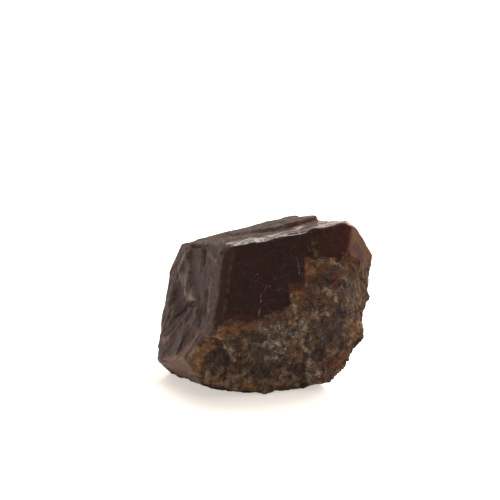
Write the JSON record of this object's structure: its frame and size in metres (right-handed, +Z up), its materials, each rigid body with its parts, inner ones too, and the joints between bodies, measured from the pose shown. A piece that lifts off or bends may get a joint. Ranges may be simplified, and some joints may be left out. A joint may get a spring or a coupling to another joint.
{
  "type": "garnet crystal",
  "caption": "Loose dark red-brown garnet crystal: flat lattice faces above, a rough broken lower side, resting on a small flat patch.",
  "frame": {"origin": "bottom centre of the bounding box, on the plane the crystal rests on", "axes": "+Z up, X across the width with the weathered crystal face on -X, -Y towards the clean dark crystal face"},
  "size_m": [0.0319, 0.0296, 0.0243],
  "materials": {
    "garnet": "glassy to satin natural faces, rough where broken"
  },
  "bodies": {
    "root": {"garnet_crystal": "garnet"}
  },
  "joints": []
}
